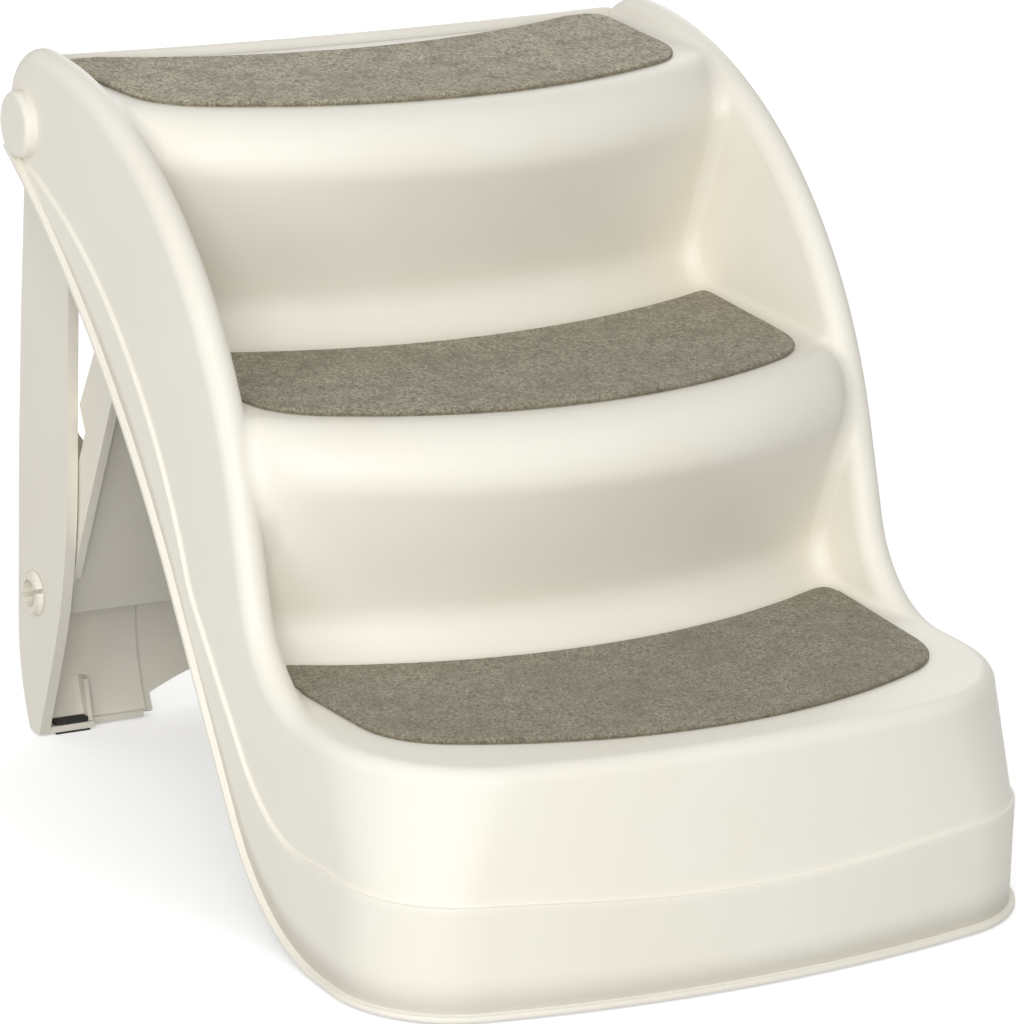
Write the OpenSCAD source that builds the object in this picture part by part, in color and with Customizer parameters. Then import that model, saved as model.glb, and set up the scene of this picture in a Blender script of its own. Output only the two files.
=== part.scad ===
// Folding three-step pet stairs: a moulded step shell on a fold-away rear leg and brace.
// Millimetres. X is the width, the stairs climb from -Y to +Y, Z is up, the floor is z = 0.

/* [Steps] */
// Height of the first tread above the floor
first_rise = 122; // [112:1:132]
// Height from one tread to the next
rise = 126; // [118:1:134]
// From the front of the rim to the front of the middle nosing
first_run = 146; // [142:1:154]
// From one nosing to the next
run = 141; // [137:1:147]
// From the upper nosing back to the leg's pivot
pivot_run = 163; // [159:1:169]
// Radius of each nosing
nose_r = 25; // [21:0.5:27]
// Radius of the hollow at the foot of each riser
foot_r = 20; // [17:0.5:23]
// How far a riser's foot lies behind its nosing, in the middle
tuck = 34.5; // [28:0.5:38]
// Radius of the bowed nosings, seen from above
nose_bow_r = 300; // [285:5:360]
// Radius of the bowed riser feet, seen from above
foot_bow_r = 350; // [330:5:400]
// Radius of the upright hollow between a riser's foot and the side rail
corner_r = 8; // [5:1:12]
// Radius that turns the ends of the nosings back into the rails
nose_end_r = 30; // [26:1:40]

/* [Shell] */
// Width over the rim
stairs_w = 380; // [364:1:396]
// Thickness of the moulded wall
wall = 2.6; // [2.2:0.1:3]
// Width of each rounded side rail
rail_w = 17; // [15:0.5:20]
// Height of the rails over the top tread
rail_h = 13; // [10:0.5:16]
// Radius of the rail's long curve
crest_r = 253; // [247:1:259]
// Radius where the rail runs out into the first tread
toe_r = 61; // [52:1:70]
// Height of the skirt band round the front
band_z = 52; // [46:1:58]
// How far the skirt band stands proud
band_out = 2; // [1.5:0.1:3]
// How far the rim stands proud of the band
rim_out = 3; // [2:0.1:4]
// Thickness of the rim
rim_t = 3; // [2.5:0.1:4]
// Radius of the front corners at the skirt
front_corner_r = 58; // [50:1:64]
// How far the front wall leans back up to the tread
front_draft = 8; // [6:0.5:10]

/* [Mats] */
// Thickness of the felt mats
mat_t = 3; // [2:0.5:5]
// Gap between a mat and the side rails
mat_gap = 4.5; // [4:0.5:10]
// How much narrower each side of a mat is at its front
mat_taper = 17; // [10:0.5:20]
// Radius of the mats' corners
mat_corner_r = 26; // [18:1:30]

/* [Rear leg] */
// From the pivot back to the leg's rear face
leg_back = 51; // [48:0.5:54]
// From the pivot forward to the leg's front edge
leg_front = 12; // [10:0.5:13]
// From the shell's side wall in to the leg
leg_set = 20; // [17:0.5:24]
// Thickness of the leg's walls
leg_wall = 3; // [2.4:0.1:3.4]
// From the leg's side in to the hand hole
hole_set = 29; // [25:1:45]
// Bottom of the hand hole
hole_z = 146; // [140:1:156]
// Top of the hand hole
hole_top_z = 284; // [270:1:288]
// Diameter of the pivot shafts
shaft_d = 16; // [14:0.5:18]
// Diameter of the pivot caps
cap_d = 35; // [31:0.5:37]

/* [Brace] */
// From the leg's rear face forward to the brace's snap pins
brace_inset = 21.5; // [20:0.5:23]
// Height of the brace's snap pins
brace_z = 80; // [76:0.5:84]
// Length from the snap pins to the catch bar
brace_l = 248; // [244:0.5:250]
// Lean of the brace from upright
brace_a = 23.5; // [22.5:0.25:24.5]
// Diameter of the hollow snap pins
snap_d = 22; // [19:0.5:24]

/* [Feet] */
// How far the rubber pads hold the plastic off the floor
floor_gap = 1; // [0.6:0.1:2]
// Width of a rear pad
pad_w = 20; // [16:0.5:22]
// Depth of a rear pad
pad_d = 10; // [8:0.5:10.5]
// Diameter of a front pad
front_pad_d = 18; // [14:0.5:20]

/* [Hidden] */
plastic = [0.91, 0.89, 0.85];
felt = [0.53, 0.50, 0.44];
rubber = [0.10, 0.10, 0.10];

// Running clearance on a shaft, loose clearance between moving walls, overrun of every cut
run_gap = 0.05;
free_gap = 0.3;
over = 1;
sliver = 0.02;

// Places along the stairs, with the middle of the whole depth at y = 0
stairs_d = first_run + run + pivot_run + leg_back;
rim_front_y = -stairs_d / 2;
nose_ys = [0, rim_front_y + first_run, rim_front_y + first_run + run];
tread_zs = [first_rise, first_rise + rise, first_rise + 2 * rise];
deck_z = tread_zs[2];
pivot_drop = 27.5;
pivot_y = nose_ys[2] + pivot_run;
pivot_z = deck_z - pivot_drop;
leg_rear_y = pivot_y + leg_back;

// Half widths of the rim, the skirt band, the wall and the space between the rails
rim_x = stairs_w / 2;
band_x = rim_x - rim_out;
wall_x = band_x - band_out;
rail_x = wall_x - rail_w / 2;
inner_x = wall_x - rail_w;

// The rail's crest seen from the side: a back arc, the long arc, a straight and a toe arc
apex_fore = 10;
back_r = 34;
crest_a = 72;
crest_n = 18;
apex = [pivot_y - apex_fore, deck_z + rail_h];
crest_c = apex - [0, crest_r];
crest_end = crest_c + crest_r * [-sin(crest_a), cos(crest_a)];
crest_fall = crest_end[1] - first_rise - toe_r * (1 - cos(crest_a));
toe_start = crest_end - [crest_fall / tan(crest_a), crest_fall];
toe_c = toe_start + toe_r * [-sin(crest_a), cos(crest_a)];
toe_y = toe_c[0];
tip_drop = 13.5;
tip_z = pivot_z - tip_drop;

// The rim line under the side wall: a long arc, a straight and an arc onto the floor
rim_r = 640;
rim_a0 = 29;
rim_a1 = 54;
rim_toe_r = 120;
rim_n = 20;
rim_tip_back = 16;
rim_tip_drop = 15.5;
rim_tip = [pivot_y + rim_tip_back, pivot_z - rim_tip_drop];
rim_c = rim_tip + rim_r * [sin(rim_a0), -cos(rim_a0)];
rim_end = rim_c + rim_r * [-sin(rim_a1), cos(rim_a1)];
rim_toe_z = floor_gap + rim_toe_r * (1 - cos(rim_a1));
rim_fall = rim_end[1] - rim_toe_z;
rim_toe_c = rim_end - [rim_fall / tan(rim_a1) + rim_toe_r * sin(rim_a1),
                       rim_fall - rim_toe_r * cos(rim_a1)];
rim_toe_y = rim_toe_c[0];

// The edge of the skirt band up the side wall, with a short bend where it passes the middle riser
step_r = 330;
step_a0 = 17;
step_a1 = 62;
step_a2 = 47;
bend_r = 60;
step_toe_r = 103;
step_tip_fore = 7;
step_tip_drop = 25.4;
step_tip = [pivot_y - step_tip_fore, pivot_z - step_tip_drop];
step_c = step_tip + step_r * [sin(step_a0), -cos(step_a0)];
step_end = step_c + step_r * [-sin(step_a1), cos(step_a1)];
bend_c = step_end + bend_r * [-sin(step_a1), cos(step_a1)];
bend_end = bend_c + bend_r * [sin(step_a2), -cos(step_a2)];
step_fall = bend_end[1] - band_z - step_toe_r * (1 - cos(step_a2));
step_toe_c = bend_end - [step_fall / tan(step_a2) + step_toe_r * sin(step_a2),
                         step_fall - step_toe_r * cos(step_a2)];

// The front of the shell
front_bow_r = 700;
front_top_r = 9;
top_corner_more = 22;
top_corner_r = front_corner_r + top_corner_more;
front_y = rim_front_y + rim_out + band_out;
front_edge_z = first_rise - front_top_r;

// The back edge of the top tread
deck_back = 6.5;
deck_back_y = pivot_y + deck_back;
deck_bow_r = 1500;
lip_h = 4;
lip_w = 4;
lip_drop = 6;

// Ribs and the catch under the shell
rib_t = 2.4;
rib_h = 8;
rib_share = 0.36;
bar_r = 4;
catch_r = 6;
boss_wall = 5;
boss_d = shaft_d + 2 * boss_wall;
tab_t = 2.5;
tab_l = 62;
tab_w = 44;

// The leg's outline, hub, window, arch and feet
leg_half_w = wall_x - leg_set;
leg_lip_w = 6;
leg_lip_d = 4;
leg_bend_z = 150;
leg_front_r = 300;
leg_front_a = 20;
leg_foot_r = 120;
leg_foot_a = 30;
leg_top_drop = 46.5;
leg_top_z = pivot_z - leg_top_drop;
leg_top_in = 6;
ear_r = 20;
ear_a0 = 26;
ear_a1 = 190;
hub_wall = 6;
hub_d = shaft_d + 2 * hub_wall;
hub_l = 15;
hole_half_w = leg_half_w - hole_set;
hole_corner_r = 30;
arch_set = 72;
arch_half_w = leg_half_w - arch_set;
arch_h = 29;
arch_r = 250;
foot_set = 67;
foot_half_w = leg_half_w - foot_set;
foot_zone_z = 140;
foot_zone_t = 2;
foot_floor_t = 3.5;
pad_shelf = 5;
gusset_h = 26;
gusset_t = 2.5;
pad_set = 20;
pad_x = leg_half_w - pad_set;
neck_share = 0.68;
neck_d_share = 0.5;
head_d_share = 0.72;
pad_head_h = 2;

// The brace in its own frame: Z runs from the snap pins to the catch, -Y faces the stairs
brace_side_gap = 1;
brace_y = leg_rear_y - brace_inset;
brace_x = leg_half_w - leg_lip_w - brace_side_gap;
brace_t = 2.5;
brace_lip = 23.6;
brace_lip_w = 5;
brace_lip_d = 4;
brace_lip_z = 28;
brace_wall_d = 20;
brace_wall_l = 205;
brace_eye_r = 16.5;
knee_z = 113;
knee_rise = 9;
knee_fall = 45;
knee_back = 8.3;
knee_low_share = 0.65;
brace_panel_y = -14.2;
brace_panel_z = -3;
hook_x = 30;
hook_w = 58;
hook_a = 132;
catch_web_gap = 12;
catch_web_x = hook_x + hook_w + catch_web_gap;
hook_gap = 0.5;
panel_clear = 10.6;
barb_out = 1.6;
barb_h = 3.4;
slit_w = 2.5;
snap_wall = 3.4;
snap_boss_wall = 4;
snap_boss_d = snap_d + 2 * snap_boss_wall;
bar_y = brace_panel_y - brace_t - hook_gap - bar_r;
catch_pt = [brace_y + bar_y * cos(brace_a) - brace_l * sin(brace_a),
            brace_z + bar_y * sin(brace_a) + brace_l * cos(brace_a)];

function arc(c, r, a0, a1, n) =
    [for (i = [0:n]) c + r * [cos(a0 + (a1 - a0) * i / n), sin(a0 + (a1 - a0) * i / n)]];
function flip(list) = [for (i = [len(list) - 1:-1:0]) list[i]];
function sag(x, r) = r - sqrt(r * r - x * x);

// Side outlines as [y, z], each drawn inwards by d
function crest_line(d) = concat(
    [[apex[0] + back_r - d, tip_z]],
    arc(apex - [0, back_r], back_r - d, 0, 90, 6),
    arc(crest_c, crest_r - d, 90, 90 + crest_a, crest_n),
    arc(toe_c, toe_r + d, crest_a - 90, -90, 9));
function rim_line(d) = concat(
    arc(rim_c, rim_r + d, 90 + rim_a0, 90 + rim_a1, rim_n),
    arc(rim_toe_c, rim_toe_r - d, rim_a1 - 90, -90, 10));
function step_line(d) = concat(
    arc(step_c, step_r - d, 90 + step_a0, 90 + step_a1, 16),
    arc(bend_c, bend_r + d, step_a1 - 90, step_a2 - 90, 4),
    arc(step_toe_c, step_toe_r + d, step_a2 - 90, -90, 10));

// Upright hollow that turns a riser forward into the rail
function corner(x) =
    let (s = max(0, min(corner_r, abs(x) - inner_x + corner_r)))
    corner_r - sqrt(corner_r * corner_r - s * s);
// Rounding that carries the nosing's ends back into the rail
nose_end_w = 18;
skin_x = rail_x - over;
function nose_end(x) =
    let (s = max(0, abs(x) - inner_x + nose_end_w))
    nose_end_r - sqrt(nose_end_r * nose_end_r - s * s);

// Centres of the nosing and of the hollow at the riser's foot, for step k at width x
function nose_c(k, x) = [
    nose_ys[k] + nose_r + sag(x, nose_bow_r) + nose_end(x),
    tread_zs[k] - nose_r];
function foot_c(k, x) = [
    nose_ys[k] + tuck - foot_r + sag(x, foot_bow_r) - corner(x),
    tread_zs[k - 1] + foot_r];
// Lean of the flat that touches both arcs
function lean(k, x) =
    let (v = nose_c(k, x) - foot_c(k, x))
    atan2(v[1], v[0]) - acos((nose_r + foot_r) / norm(v));
foot_n = 5;
nose_n = 6;
function riser(k, x, d) = let (a = lean(k, x)) concat(
    arc(foot_c(k, x), foot_r + d, -90, a, foot_n),
    arc(nose_c(k, x), nose_r - d, 180 + a, 90, nose_n));
function deck_back_at(x) = deck_back_y + sag(x, deck_bow_r);
function deck_edge(x, d) = let (y = deck_back_at(x)) [
    [y - 2 * lip_w, deck_z - d],
    [y - lip_w, deck_z + (d > 0 ? -d : lip_h)],
    [y - (d > 0 ? wall : 0), deck_z + (d > 0 ? -d : lip_h)],
    [y - (d > 0 ? wall : 0), deck_z - lip_drop]];
function skin(x, d) = concat(
    [[toe_y - over, first_rise - d]], riser(1, x, d), riser(2, x, d), deck_edge(x, d));

// Children lie in the plane of [y, z] and rise along +X
module side_on() { rotate([90, 0, 90]) children(); }
module plate(x, t) { translate([x, 0, 0]) side_on() linear_extrude(t) children(); }
module both() { children(); mirror([1, 0, 0]) children(); }
module shaft(x0, x1, d, y, z) {
    translate([x0, y, z]) side_on() cylinder(h = x1 - x0, d = d, $fn = 64);
}

// A moulded sheet between two grids of points, rows from -X to +X, each row from front to back
module sheet(top, low) {
    n = len(top);
    m = len(top[0]);
    function at(side, i, j) = side * n * m + i * m + j;
    faces = concat(
        [for (i = [0:n - 2]) for (j = [0:m - 2]) for (f = [
            [at(0, i, j), at(0, i, j + 1), at(0, i + 1, j + 1)],
            [at(0, i, j), at(0, i + 1, j + 1), at(0, i + 1, j)],
            [at(1, i, j), at(1, i + 1, j + 1), at(1, i, j + 1)],
            [at(1, i, j), at(1, i + 1, j), at(1, i + 1, j + 1)]]) f],
        [for (j = [0:m - 2]) for (f = [
            [at(0, 0, j), at(1, 0, j), at(1, 0, j + 1)],
            [at(0, 0, j), at(1, 0, j + 1), at(0, 0, j + 1)],
            [at(0, n - 1, j), at(1, n - 1, j + 1), at(1, n - 1, j)],
            [at(0, n - 1, j), at(0, n - 1, j + 1), at(1, n - 1, j + 1)]]) f],
        [for (i = [0:n - 2]) for (f = [
            [at(0, i, 0), at(1, i + 1, 0), at(1, i, 0)],
            [at(0, i, 0), at(0, i + 1, 0), at(1, i + 1, 0)],
            [at(0, i, m - 1), at(1, i, m - 1), at(1, i + 1, m - 1)],
            [at(0, i, m - 1), at(1, i + 1, m - 1), at(0, i + 1, m - 1)]]) f]);
    polyhedron([for (g = [top, low]) for (row = g) for (p = row) p], faces, convexity = 6);
}
function row(x, line) = [for (p = line) [x, p[0], p[1]]];

// Treads and risers as one bowed skin over stations across the width
skin_shares = [0, 0.16, 0.32, 0.48, 0.63, 0.77, 0.89, 0.93, 0.96, 0.98, 1];
module tread_skin() {
    half = [for (s = skin_shares) s * inner_x];
    xs = concat([-skin_x], [for (x = flip(half)) -x], [for (i = [1:len(half) - 1]) half[i]], [skin_x]);
    sheet([for (x = xs) row(x, skin(x, 0))], [for (x = xs) row(x, skin(x, wall))]);
}

// Rounded top of the rail, swept along the crest
rail_steps = 8;
module rail_top() {
    r = rail_w / 2;
    function band(q) = [for (i = [0:rail_steps]) let (a = 180 - 180 * i / rail_steps)
        row(rail_x + q * cos(a), flip(crest_line(r - q * sin(a))))];
    sheet(band(r), band(r - wall));
}
module side_wall() {
    r = rail_w / 2;
    low = step_line(wall);
    difference() {
        plate(wall_x - wall, wall)
            polygon(concat(crest_line(r), [[rim_toe_y, front_edge_z - r]],
                           [[rim_toe_y, band_z - wall]], flip(low)));
        shaft(wall_x - wall - over, wall_x + over, shaft_d + 2 * run_gap, pivot_y, pivot_z);
    }
    plate(band_x - wall, wall)
        polygon(concat(step_line(0), [[rim_toe_y, band_z]], flip(rim_line(0))));
    plate(wall_x - wall, wall + band_out)
        polygon(concat(step_line(0), [[rim_toe_y, band_z], [rim_toe_y, band_z - wall]], flip(low)));
    plate(band_x - wall, wall + rim_out) polygon(concat(rim_line(rim_t), flip(rim_line(0))));
}
module inner_wall() {
    side = skin(inner_x, wall / 2);
    rear = apex[0] + back_r;
    high = apex[1] + rail_h;
    plate(inner_x, wall) intersection() {
        polygon(concat(crest_line(rail_w / 2), [[toe_y, 0], [rear, 0]]));
        polygon(concat([for (i = [0:len(side) - 3]) side[i]],
                       [[rear, deck_z - wall / 2], [rear, high], [toe_y, high]]));
    }
}
// Cross ribs inside the hollow rail
rail_rib_shares = [0.2, 0.45, 0.7];
rail_rib_depth = 29;
module rail_ribs() {
    for (s = rail_rib_shares)
        intersection() {
            plate(inner_x + wall / 2, rail_w - wall)
                polygon(concat(crest_line(rail_w / 2), flip(crest_line(rail_rib_depth))));
            translate([inner_x, apex[0] - s * crest_r, 0]) cube([rail_w, rib_t, apex[1]]);
        }
}

// Outline of the front seen from above
module plan(y, half_w, r, rear) {
    intersection() {
        offset(r = r, $fn = 48) offset(delta = -r) intersection() {
            translate([0, y + front_bow_r]) circle(front_bow_r, $fn = 180);
            translate([-half_w, y]) square([2 * half_w, rear - y + 2 * r]);
        }
        translate([-half_w - over, y - over]) square([2 * half_w + 2 * over, rear - y + over]);
    }
}
module front_body(d, z0) {
    rear = toe_y + (d > 0 ? over : 0);
    hull() {
        translate([0, 0, z0])
            linear_extrude(sliver) plan(front_y + d, wall_x - d, front_corner_r - d, rear);
        for (a = [0:30:90]) {
            back = front_draft + front_top_r * (1 - cos(a)) + d * cos(a);
            side = front_top_r * (1 - cos(a)) + d * cos(a);
            translate([0, 0, front_edge_z + (front_top_r - d) * sin(a) - sliver])
                linear_extrude(sliver) plan(front_y + back, wall_x - side, top_corner_r - side, rear);
        }
    }
}
module front() {
    difference() {
        front_body(0, band_z - wall);
        front_body(wall, band_z - wall - over);
    }
    band_r = front_corner_r + band_out;
    y = front_y - band_out;
    translate([0, 0, floor_gap]) linear_extrude(band_z - floor_gap) difference() {
        plan(y, band_x, band_r, rim_toe_y);
        plan(y + wall, band_x - wall, band_r - wall, rim_toe_y + over);
    }
    translate([0, 0, band_z - wall]) linear_extrude(wall) difference() {
        plan(y, band_x, band_r, rim_toe_y);
        plan(front_y + wall, wall_x - wall, front_corner_r - wall, rim_toe_y + over);
    }
    translate([0, 0, floor_gap]) linear_extrude(rim_t) difference() {
        plan(y - rim_out, rim_x, band_r + rim_out, rim_toe_y);
        plan(y + wall, band_x - wall, band_r - wall, rim_toe_y + over);
    }
}

// Ledge inside each front corner that carries a rubber pad
front_pad_x = band_x - tab_w / 2;
front_pad_y = front_y + front_corner_r;
module pad_ledge() {
    translate([0, 0, floor_gap]) linear_extrude(tab_t) difference() {
        intersection() {
            plan(front_y - band_out + wall / 2, band_x - wall / 2, front_corner_r, rim_toe_y);
            translate([band_x - tab_w, front_y]) square([tab_w, tab_l + front_corner_r / 2]);
        }
        translate([front_pad_x, front_pad_y]) circle(d = front_pad_d / 2, $fn = 48);
    }
}

// Webs that carry the catch bar behind the upper riser
module catch_web(x) {
    rear = catch_pt[0] + catch_r;
    r = riser(2, x, wall / 2);
    plate(x - rib_t / 2, rib_t) {
        polygon(concat([for (i = [foot_n:len(r) - 1]) r[i]],
                       [[rear, deck_z - wall / 2], [rear, catch_pt[1]],
                        [catch_pt[0], catch_pt[1] - catch_r]]));
        translate(catch_pt) circle(catch_r, $fn = 48);
    }
}
module under_rib(x) {
    n = len(skin(x, 0)) - 3;
    top = [for (i = [1:n]) skin(x, wall / 2)[i]];
    low = [for (i = [1:n]) skin(x, wall + rib_h)[i]];
    plate(x - rib_t / 2, rib_t) polygon(concat(top, flip(low)));
}
module pivot_boss() {
    x0 = leg_half_w + free_gap;
    plate(x0, wall_x - wall - x0) difference() {
        union() {
            translate([pivot_y, pivot_z]) circle(d = boss_d, $fn = 64);
            translate([pivot_y - rib_t / 2, pivot_z]) square([rib_t, pivot_drop - wall / 2]);
        }
        translate([pivot_y, pivot_z]) circle(d = shaft_d + 2 * run_gap, $fn = 64);
    }
}

module step_shell() {
    color(plastic) {
        tread_skin();
        front();
        both() {
            side_wall();
            inner_wall();
            rail_top();
            rail_ribs();
            pad_ledge();
            pivot_boss();
            catch_web(catch_web_x);
            under_rib(rib_share * inner_x);
            under_rib(2 * rib_share * inner_x);
        }
        catch_web(0);
        shaft(-catch_web_x - rib_t / 2, catch_web_x + rib_t / 2, 2 * bar_r, catch_pt[0], catch_pt[1]);
    }
}

// Felt mats between the rails, bowed like the treads
mat_reach_share = 0.4;
mat_front_set = 32;
module mat(front, back, front_r, back_r, z) {
    half = inner_x - mat_gap;
    reach = mat_reach_share * (back - front);
    slope = mat_taper / (back - front);
    color(felt) translate([0, 0, z]) linear_extrude(mat_t)
        offset(r = mat_corner_r, $fn = 72) offset(delta = -mat_corner_r) difference() {
            intersection() {
                translate([0, front + front_r]) circle(front_r, $fn = 360);
                polygon([for (side = [-1, 1]) for (y = side > 0 ? [back + reach, front] : [front, back + reach])
                    [side * (half - slope * (back - y)), y]]);
            }
            translate([0, back + back_r]) circle(back_r, $fn = 360);
        }
}
module step_mat(k) {
    mat(nose_ys[k] + nose_r, nose_ys[k + 1] + tuck - foot_r, nose_bow_r, foot_bow_r, tread_zs[k]);
}
module top_tread_mat() {
    mat(nose_ys[2] + nose_r, deck_back_y - 2 * lip_w - over, nose_bow_r, deck_bow_r, deck_z);
}
module middle_tread_mat() { step_mat(1); }
module bottom_tread_mat() {
    mat(front_y + mat_front_set, nose_ys[1] + tuck - foot_r, nose_bow_r, foot_bow_r, first_rise);
}

// Pivot pin: a domed cap outside, a shaft through shell and leg, a split barb inside
cap_round = 3.5;
module pivot_pin() {
    cap_h = rim_x - wall_x;
    inner = leg_half_w - hub_l - free_gap;
    color(plastic) difference() {
        union() {
            translate([wall_x, pivot_y, pivot_z]) side_on() rotate_extrude($fn = 96)
                polygon(concat([[0, 0], [cap_d / 2, 0]],
                    arc([cap_d / 2 - cap_round, cap_h - cap_round], cap_round, 0, 90, 8), [[0, cap_h]]));
            shaft(inner - barb_h, wall_x, shaft_d, pivot_y, pivot_z);
            translate([inner - barb_h, pivot_y, pivot_z]) side_on()
                cylinder(h = barb_h, d1 = shaft_d, d2 = shaft_d + 2 * barb_out, $fn = 64);
        }
        translate([inner - barb_h - over, pivot_y - slit_w / 2, pivot_z - shaft_d])
            cube([hub_l, slit_w, 2 * shaft_d]);
    }
}
module right_pivot_pin() { pivot_pin(); }
module left_pivot_pin() { mirror([1, 0, 0]) pivot_pin(); }

// The leg's edges as [y, z], from the foot up, drawn inwards by d
leg_front_y = pivot_y - leg_front;
leg_front_c = [leg_front_y + leg_front_r, leg_bend_z];
leg_rear_c = [leg_rear_y - leg_foot_r, floor_gap + leg_foot_r * sin(leg_foot_a)];
function leg_front_edge(d) =
    let (knee = leg_front_c - (leg_front_r - d) * [cos(leg_front_a), sin(leg_front_a)])
    concat([[knee[0] + (knee[1] - floor_gap) * tan(leg_front_a), floor_gap]],
           arc(leg_front_c, leg_front_r - d, 180 + leg_front_a, 180, 10),
           [[leg_front_y + d, leg_top_z]]);
function leg_rear_edge(d) = concat(
    arc(leg_rear_c, leg_foot_r - d, -leg_foot_a, 0, 10),
    [[leg_rear_y - d, leg_bend_z], [leg_rear_y - leg_top_in / 3 - d, (leg_bend_z + leg_top_z) / 2],
     [leg_rear_y - leg_top_in - d, leg_top_z]]);
function leg_outline() = concat(
    leg_rear_edge(0), arc([pivot_y, pivot_z], ear_r, ear_a0, ear_a1, 20), flip(leg_front_edge(0)));

module leg_panel_cuts() {
    y0 = leg_front_y;
    depth = leg_rear_y - leg_front_y + over;
    translate([0, y0 + depth, 0]) rotate([90, 0, 0]) linear_extrude(depth) {
        r = hole_corner_r;
        offset(r = r, $fn = 72) offset(delta = -r)
            translate([-hole_half_w, hole_z]) square([2 * hole_half_w, hole_top_z - hole_z]);
        intersection() {
            translate([-arch_half_w, -arch_h]) square([2 * arch_half_w, 3 * arch_h]);
            translate([0, arch_h - arch_r]) circle(arch_r, $fn = 360);
        }
    }
}
module leg_panel() {
    difference() {
        union() {
            plate(-leg_half_w + leg_wall / 2, 2 * leg_half_w - leg_wall)
                polygon(concat(leg_rear_edge(0), flip(leg_rear_edge(leg_wall))));
            both() plate(foot_half_w, leg_half_w - foot_half_w - leg_wall / 2) intersection() {
                polygon(concat(leg_rear_edge(leg_wall / 2), flip(leg_rear_edge(leg_wall + foot_zone_t))));
                translate([leg_front_y, 0]) square([leg_rear_y, foot_zone_z]);
            }
        }
        leg_panel_cuts();
    }
}
foot_back_y = leg_rear_edge(0)[0][0];
foot_fore_y = leg_front_edge(0)[0][0];
pad_y = foot_fore_y + pad_d / 2 - 2 * free_gap;
gusset_x = pad_x - pad_w / 2 - gusset_t - free_gap;
module foot_shelf() {
    translate([0, 0, floor_gap]) linear_extrude(foot_floor_t) difference() {
        union() {
            translate([gusset_x, foot_fore_y]) square([leg_half_w - gusset_x, foot_back_y - foot_fore_y]);
            translate([foot_half_w + gusset_t, foot_fore_y + pad_shelf])
                square([pad_x - foot_half_w, foot_back_y - foot_fore_y - pad_shelf]);
        }
        translate([pad_x, pad_y]) square([neck_share * pad_w, neck_d_share * pad_d], center = true);
    }
    plate(gusset_x, gusset_t) intersection() {
        polygon([[foot_fore_y, floor_gap], [foot_back_y, floor_gap], [leg_rear_y, gusset_h],
                 [foot_back_y - leg_wall, gusset_h], [foot_fore_y + gusset_t, floor_gap + foot_floor_t]]);
        polygon(leg_outline());
    }
}
module rear_leg() {
    color(plastic) difference() {
        union() {
            leg_panel();
            both() {
                plate(leg_half_w - leg_wall, leg_wall) polygon(leg_outline());
                plate(leg_half_w - leg_lip_w, leg_lip_w)
                    polygon(concat(leg_front_edge(0), flip(leg_front_edge(leg_lip_d))));
                shaft(leg_half_w - hub_l, leg_half_w - leg_wall / 2, hub_d, pivot_y, pivot_z);
                shaft(brace_x + free_gap, leg_half_w - leg_wall / 2, snap_boss_d, brace_y, brace_z);
                foot_shelf();
            }
        }
        both() {
            shaft(leg_half_w - hub_l - over, leg_half_w + over, shaft_d + 2 * run_gap, pivot_y, pivot_z);
            shaft(brace_x - over, leg_half_w + over, snap_d + 2 * run_gap, brace_y, brace_z);
        }
    }
}

// Brace, drawn in its own frame and then leaned into place
module brace_side() {
    plate(brace_x - brace_t, brace_t) {
        rear = brace_wall_d - brace_lip;
        polygon([[-brace_lip, brace_lip_z], [-brace_lip, brace_wall_l - brace_lip_d],
                 [-brace_lip + brace_lip_d, brace_wall_l], [rear, brace_wall_l],
                 [knee_low_share * knee_back, knee_z + knee_fall], [knee_back, knee_z + knee_rise],
                 [rear, knee_z], [rear, 0], [-brace_eye_r, 0], [-brace_lip + over, brace_eye_r]]);
        circle(brace_eye_r, $fn = 64);
    }
    plate(brace_x - brace_lip_w, brace_lip_w) translate([-brace_lip, brace_lip_z])
        square([brace_lip_d, brace_wall_l - brace_lip_z - brace_lip_d]);
}
module brace_hooks() {
    translate([hook_x, brace_panel_y - brace_t, brace_l - panel_clear - over])
        cube([hook_w, brace_t, panel_clear + over]);
    translate([hook_x, bar_y, brace_l]) side_on() rotate_extrude(angle = hook_a, $fn = 72)
        translate([bar_r + hook_gap, 0]) square([brace_t, hook_w]);
}
module snap_pin() {
    x1 = leg_half_w + free_gap;
    end = x1 + barb_h;
    difference() {
        union() {
            shaft(brace_x - brace_t, end, snap_d, 0, 0);
            translate([x1, 0, 0]) side_on()
                cylinder(h = barb_h, d1 = snap_d + 2 * barb_out, d2 = snap_d - barb_out, $fn = 64);
        }
        shaft(brace_x - brace_t - over, end + over, snap_d - 2 * snap_wall, 0, 0);
        for (a = [45, 135])
            translate([brace_x + brace_t, 0, 0]) rotate([a, 0, 0])
                translate([0, -snap_d, -slit_w / 2]) cube([end - brace_x, 2 * snap_d, slit_w]);
    }
}
brace_rib_share = 0.35;
module brace() {
    panel_l = brace_l - panel_clear - brace_panel_z;
    color(plastic) translate([0, brace_y, brace_z]) rotate([brace_a, 0, 0]) {
        translate([-brace_x + brace_t / 2, brace_panel_y - brace_t, brace_panel_z])
            cube([2 * brace_x - brace_t, brace_t, panel_l]);
        for (s = [-1, 1])
            translate([s * brace_rib_share * brace_x - rib_t / 2, brace_panel_y - over, brace_panel_z + rib_h])
                cube([rib_t, rib_h, panel_l - 2 * rib_h]);
        both() {
            brace_side();
            brace_hooks();
            snap_pin();
        }
    }
}

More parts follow.
